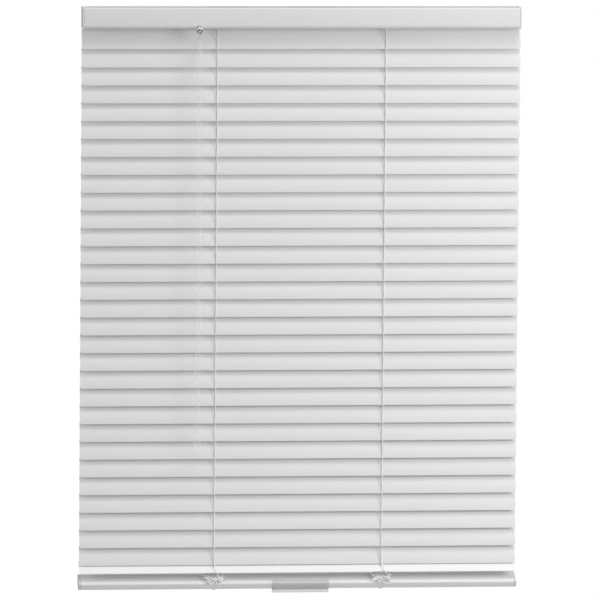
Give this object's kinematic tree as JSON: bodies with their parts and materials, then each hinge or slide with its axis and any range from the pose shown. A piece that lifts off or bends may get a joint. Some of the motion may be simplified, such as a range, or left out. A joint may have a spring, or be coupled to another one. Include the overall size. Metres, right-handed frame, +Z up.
{
  "type": "venetian blind",
  "caption": "Closed venetian mini blind: channel headrail, crowned slats on cord ladders, tubular bottom rail with grip, hanging tilt wand and spring lift.",
  "frame": {"origin": "centre of the headrail's flat back face", "axes": "+X to the right along the slats, +Y back towards the wall or window, +Z up; the room side is -Y"},
  "size_m": [0.5308, 0.0353, 0.708],
  "materials": {
    "white_painted_steel": "white satin enamel on rolled steel",
    "white_vinyl": "white satin vinyl",
    "white_plastic": "white moulded plastic",
    "clear_plastic": "clear moulded acrylic",
    "bright_steel": "plated steel",
    "spring_steel": "blued spring steel",
    "grey_plastic": "grey acetal",
    "white_cord": "braided polyester"
  },
  "bodies": {
    "headrail": {"headrail": "white_painted_steel", "headrail_cap_left": "white_plastic", "headrail_cap_right": "white_plastic", "cradle_left": "white_plastic", "cradle_right": "white_plastic", "tilter_housing": "white_plastic", "motor_housing": "grey_plastic", "motor_spring": "spring_steel"},
    "tilt_rod": {"tilt_rod": "bright_steel", "tilt_gear": "grey_plastic", "ladder_drum_left": "white_plastic", "ladder_drum_right": "white_plastic"},
    "tilt_worm": {"tilt_worm": "bright_steel"},
    "wand_sleeve": {"wand_sleeve": "clear_plastic"},
    "wand": {"wand": "clear_plastic"},
    "motor_drum": {"motor_drum": "grey_plastic"},
    "storage_drum": {"storage_drum": "grey_plastic"},
    "lift_cords": {"lift_cord_left": "white_cord", "lift_cord_right": "white_cord"},
    "bottom_rail": {"bottom_rail": "white_vinyl", "bottom_cap_left": "white_plastic", "bottom_cap_right": "white_plastic", "ladder_clip_left": "clear_plastic", "ladder_clip_right": "clear_plastic", "lift_handle": "clear_plastic"},
    "front_strands": {"ladder_left_front": "white_cord", "ladder_right_front": "white_cord"},
    "rear_strands": {"ladder_left_rear": "white_cord", "ladder_right_rear": "white_cord"},
    "slat_01": {"slat_01": "white_vinyl"},
    "slat_02": {"slat_02": "white_vinyl"},
    "slat_03": {"slat_03": "white_vinyl"},
    "slat_04": {"slat_04": "white_vinyl"},
    "slat_05": {"slat_05": "white_vinyl"},
    "slat_06": {"slat_06": "white_vinyl"},
    "slat_07": {"slat_07": "white_vinyl"},
    "slat_08": {"slat_08": "white_vinyl"},
    "slat_09": {"slat_09": "white_vinyl"},
    "slat_10": {"slat_10": "white_vinyl"},
    "slat_11": {"slat_11": "white_vinyl"},
    "slat_12": {"slat_12": "white_vinyl"},
    "slat_13": {"slat_13": "white_vinyl"},
    "slat_14": {"slat_14": "white_vinyl"},
    "slat_15": {"slat_15": "white_vinyl"},
    "slat_16": {"slat_16": "white_vinyl"},
    "slat_17": {"slat_17": "white_vinyl"},
    "slat_18": {"slat_18": "white_vinyl"},
    "slat_19": {"slat_19": "white_vinyl"},
    "slat_20": {"slat_20": "white_vinyl"},
    "slat_21": {"slat_21": "white_vinyl"},
    "slat_22": {"slat_22": "white_vinyl"},
    "slat_23": {"slat_23": "white_vinyl"},
    "slat_24": {"slat_24": "white_vinyl"},
    "slat_25": {"slat_25": "white_vinyl"},
    "slat_26": {"slat_26": "white_vinyl"},
    "slat_27": {"slat_27": "white_vinyl"},
    "slat_28": {"slat_28": "white_vinyl"},
    "slat_29": {"slat_29": "white_vinyl"},
    "slat_30": {"slat_30": "white_vinyl"},
    "slat_31": {"slat_31": "white_vinyl"}
  },
  "joints": [
    {"name": "tilt", "type": "hinge", "parent": "headrail", "child": "tilt_rod", "pos_m": [0, -0.012, 0.006], "axis": [1, 0, 0], "range_deg": [-330, 0]},
    {"name": "worm_spin", "type": "hinge", "parent": "headrail", "child": "tilt_worm", "pos_m": [-0.1245, -0.0302, -0.0145], "axis": [0, 0.8415, 0.5402], "range_deg": [-1, 3301]},
    {"name": "wand_swing", "type": "hinge", "parent": "headrail", "child": "wand_sleeve", "pos_m": [-0.1245, -0.0302, -0.0145], "axis": [1, 0, 0], "range_deg": [-60, 0]},
    {"name": "wand_spin", "type": "hinge", "parent": "wand_sleeve", "child": "wand", "pos_m": [-0.1245, -0.0302, -0.0145], "axis": [0, 0, 1], "range_deg": [-1, 3301]},
    {"name": "lift", "type": "slide", "parent": "headrail", "child": "lift_cords", "axis": [0, 0, 1], "range_m": [0, 0.0075], "deforming": ["lift_cord_left", "lift_cord_right", "motor_spring", "ladder_left_front", "ladder_left_rear", "ladder_right_front", "ladder_right_rear"]},
    {"name": "motor_spin", "type": "hinge", "parent": "headrail", "child": "motor_drum", "pos_m": [0.031, -0.0127, 0], "axis": [0, 0, 1], "range_deg": [-1, 80]},
    {"name": "storage_spin", "type": "hinge", "parent": "headrail", "child": "storage_drum", "pos_m": [0.009, -0.0127, 0], "axis": [0, 0, 1], "range_deg": [-1, 62]},
    {"name": "rail_tilt", "type": "hinge", "parent": "lift_cords", "child": "bottom_rail", "pos_m": [0, -0.0127, -0.682], "axis": [1, 0, 0], "range_deg": [-46.5, 0.5]},
    {"name": "slat_01_tilt", "type": "hinge", "parent": "headrail", "child": "slat_01", "pos_m": [0, -0.0127, -0.026], "axis": [1, 0, 0], "range_deg": [-150.5, 0.5]},
    {"name": "slat_02_tilt", "type": "hinge", "parent": "headrail", "child": "slat_02", "pos_m": [0, -0.0127, -0.0475], "axis": [1, 0, 0], "range_deg": [-150.5, 0.5]},
    {"name": "slat_03_tilt", "type": "hinge", "parent": "headrail", "child": "slat_03", "pos_m": [0, -0.0127, -0.069], "axis": [1, 0, 0], "range_deg": [-150.5, 0.5]},
    {"name": "slat_04_tilt", "type": "hinge", "parent": "headrail", "child": "slat_04", "pos_m": [0, -0.0127, -0.0905], "axis": [1, 0, 0], "range_deg": [-150.5, 0.5]},
    {"name": "slat_05_tilt", "type": "hinge", "parent": "headrail", "child": "slat_05", "pos_m": [0, -0.0127, -0.112], "axis": [1, 0, 0], "range_deg": [-150.5, 0.5]},
    {"name": "slat_06_tilt", "type": "hinge", "parent": "headrail", "child": "slat_06", "pos_m": [0, -0.0127, -0.1335], "axis": [1, 0, 0], "range_deg": [-150.5, 0.5]},
    {"name": "slat_07_tilt", "type": "hinge", "parent": "headrail", "child": "slat_07", "pos_m": [0, -0.0127, -0.155], "axis": [1, 0, 0], "range_deg": [-150.5, 0.5]},
    {"name": "slat_08_tilt", "type": "hinge", "parent": "headrail", "child": "slat_08", "pos_m": [0, -0.0127, -0.1765], "axis": [1, 0, 0], "range_deg": [-150.5, 0.5]},
    {"name": "slat_09_tilt", "type": "hinge", "parent": "headrail", "child": "slat_09", "pos_m": [0, -0.0127, -0.198], "axis": [1, 0, 0], "range_deg": [-150.5, 0.5]},
    {"name": "slat_10_tilt", "type": "hinge", "parent": "headrail", "child": "slat_10", "pos_m": [0, -0.0127, -0.2195], "axis": [1, 0, 0], "range_deg": [-150.5, 0.5]},
    {"name": "slat_11_tilt", "type": "hinge", "parent": "headrail", "child": "slat_11", "pos_m": [0, -0.0127, -0.241], "axis": [1, 0, 0], "range_deg": [-150.5, 0.5]},
    {"name": "slat_12_tilt", "type": "hinge", "parent": "headrail", "child": "slat_12", "pos_m": [0, -0.0127, -0.2625], "axis": [1, 0, 0], "range_deg": [-150.5, 0.5]},
    {"name": "slat_13_tilt", "type": "hinge", "parent": "headrail", "child": "slat_13", "pos_m": [0, -0.0127, -0.284], "axis": [1, 0, 0], "range_deg": [-150.5, 0.5]},
    {"name": "slat_14_tilt", "type": "hinge", "parent": "headrail", "child": "slat_14", "pos_m": [0, -0.0127, -0.3055], "axis": [1, 0, 0], "range_deg": [-150.5, 0.5]},
    {"name": "slat_15_tilt", "type": "hinge", "parent": "headrail", "child": "slat_15", "pos_m": [0, -0.0127, -0.327], "axis": [1, 0, 0], "range_deg": [-150.5, 0.5]},
    {"name": "slat_16_tilt", "type": "hinge", "parent": "headrail", "child": "slat_16", "pos_m": [0, -0.0127, -0.3485], "axis": [1, 0, 0], "range_deg": [-150.5, 0.5]},
    {"name": "slat_17_tilt", "type": "hinge", "parent": "headrail", "child": "slat_17", "pos_m": [0, -0.0127, -0.37], "axis": [1, 0, 0], "range_deg": [-150.5, 0.5]},
    {"name": "slat_18_tilt", "type": "hinge", "parent": "headrail", "child": "slat_18", "pos_m": [0, -0.0127, -0.3915], "axis": [1, 0, 0], "range_deg": [-150.5, 0.5]},
    {"name": "slat_19_tilt", "type": "hinge", "parent": "headrail", "child": "slat_19", "pos_m": [0, -0.0127, -0.413], "axis": [1, 0, 0], "range_deg": [-150.5, 0.5]},
    {"name": "slat_20_tilt", "type": "hinge", "parent": "headrail", "child": "slat_20", "pos_m": [0, -0.0127, -0.4345], "axis": [1, 0, 0], "range_deg": [-150.5, 0.5]},
    {"name": "slat_21_tilt", "type": "hinge", "parent": "headrail", "child": "slat_21", "pos_m": [0, -0.0127, -0.456], "axis": [1, 0, 0], "range_deg": [-150.5, 0.5]},
    {"name": "slat_22_tilt", "type": "hinge", "parent": "headrail", "child": "slat_22", "pos_m": [0, -0.0127, -0.4775], "axis": [1, 0, 0], "range_deg": [-150.5, 0.5]},
    {"name": "slat_23_tilt", "type": "hinge", "parent": "headrail", "child": "slat_23", "pos_m": [0, -0.0127, -0.499], "axis": [1, 0, 0], "range_deg": [-150.5, 0.5]},
    {"name": "slat_24_tilt", "type": "hinge", "parent": "headrail", "child": "slat_24", "pos_m": [0, -0.0127, -0.5205], "axis": [1, 0, 0], "range_deg": [-150.5, 0.5]},
    {"name": "slat_25_tilt", "type": "hinge", "parent": "headrail", "child": "slat_25", "pos_m": [0, -0.0127, -0.542], "axis": [1, 0, 0], "range_deg": [-150.5, 0.5]},
    {"name": "slat_26_tilt", "type": "hinge", "parent": "headrail", "child": "slat_26", "pos_m": [0, -0.0127, -0.5635], "axis": [1, 0, 0], "range_deg": [-150.5, 0.5]},
    {"name": "slat_27_tilt", "type": "hinge", "parent": "headrail", "child": "slat_27", "pos_m": [0, -0.0127, -0.585], "axis": [1, 0, 0], "range_deg": [-150.5, 0.5]},
    {"name": "slat_28_tilt", "type": "hinge", "parent": "headrail", "child": "slat_28", "pos_m": [0, -0.0127, -0.6065], "axis": [1, 0, 0], "range_deg": [-150.5, 0.5]},
    {"name": "slat_29_tilt", "type": "hinge", "parent": "headrail", "child": "slat_29", "pos_m": [0, -0.0127, -0.628], "axis": [1, 0, 0], "range_deg": [-150.5, 0.5]},
    {"name": "slat_30_tilt", "type": "hinge", "parent": "headrail", "child": "slat_30", "pos_m": [0, -0.0127, -0.6495], "axis": [1, 0, 0], "range_deg": [-150.5, 0.5]},
    {"name": "slat_31_tilt", "type": "hinge", "parent": "headrail", "child": "slat_31", "pos_m": [0, -0.0127, -0.6632], "axis": [1, 0, 0], "range_deg": [-60.5, 0.5]},
    {"name": "front_strands_hang", "type": "hinge", "parent": "slat_16", "child": "front_strands", "pos_m": [0, -0.01521, -0.36077], "axis": [1, 0, 0], "range_deg": [-0.5, 150.5]},
    {"name": "rear_strands_hang", "type": "hinge", "parent": "slat_16", "child": "rear_strands", "pos_m": [0, -0.00874, -0.33662], "axis": [1, 0, 0], "range_deg": [-0.5, 150.5]}
  ],
  "couplings": [
    {"joint": "worm_spin", "follows": "tilt", "ratio": -10},
    {"joint": "wand_spin", "follows": "tilt", "ratio": -10},
    {"joint": "motor_spin", "follows": "lift", "rad_per_m": 169.5},
    {"joint": "storage_spin", "follows": "lift", "rad_per_m": 131.4},
    {"joint": "rail_tilt", "follows": "tilt", "ratio": 0.13939},
    {"joint": "slat_01_tilt", "follows": "tilt", "ratio": 0.45455},
    {"joint": "slat_02_tilt", "follows": "tilt", "ratio": 0.45455},
    {"joint": "slat_03_tilt", "follows": "tilt", "ratio": 0.45455},
    {"joint": "slat_04_tilt", "follows": "tilt", "ratio": 0.45455},
    {"joint": "slat_05_tilt", "follows": "tilt", "ratio": 0.45455},
    {"joint": "slat_06_tilt", "follows": "tilt", "ratio": 0.45455},
    {"joint": "slat_07_tilt", "follows": "tilt", "ratio": 0.45455},
    {"joint": "slat_08_tilt", "follows": "tilt", "ratio": 0.45455},
    {"joint": "slat_09_tilt", "follows": "tilt", "ratio": 0.45455},
    {"joint": "slat_10_tilt", "follows": "tilt", "ratio": 0.45455},
    {"joint": "slat_11_tilt", "follows": "tilt", "ratio": 0.45455},
    {"joint": "slat_12_tilt", "follows": "tilt", "ratio": 0.45455},
    {"joint": "slat_13_tilt", "follows": "tilt", "ratio": 0.45455},
    {"joint": "slat_14_tilt", "follows": "tilt", "ratio": 0.45455},
    {"joint": "slat_15_tilt", "follows": "tilt", "ratio": 0.45455},
    {"joint": "slat_16_tilt", "follows": "tilt", "ratio": 0.45455},
    {"joint": "slat_17_tilt", "follows": "tilt", "ratio": 0.45455},
    {"joint": "slat_18_tilt", "follows": "tilt", "ratio": 0.45455},
    {"joint": "slat_19_tilt", "follows": "tilt", "ratio": 0.45455},
    {"joint": "slat_20_tilt", "follows": "tilt", "ratio": 0.45455},
    {"joint": "slat_21_tilt", "follows": "tilt", "ratio": 0.45455},
    {"joint": "slat_22_tilt", "follows": "tilt", "ratio": 0.45455},
    {"joint": "slat_23_tilt", "follows": "tilt", "ratio": 0.45455},
    {"joint": "slat_24_tilt", "follows": "tilt", "ratio": 0.45455},
    {"joint": "slat_25_tilt", "follows": "tilt", "ratio": 0.45455},
    {"joint": "slat_26_tilt", "follows": "tilt", "ratio": 0.45455},
    {"joint": "slat_27_tilt", "follows": "tilt", "ratio": 0.45455},
    {"joint": "slat_28_tilt", "follows": "tilt", "ratio": 0.45455},
    {"joint": "slat_29_tilt", "follows": "tilt", "ratio": 0.45455},
    {"joint": "slat_30_tilt", "follows": "tilt", "ratio": 0.45455},
    {"joint": "slat_31_tilt", "follows": "tilt", "ratio": 0.18182},
    {"joint": "front_strands_hang", "follows": "tilt", "ratio": -0.45455},
    {"joint": "rear_strands_hang", "follows": "tilt", "ratio": -0.45455}
  ]
}
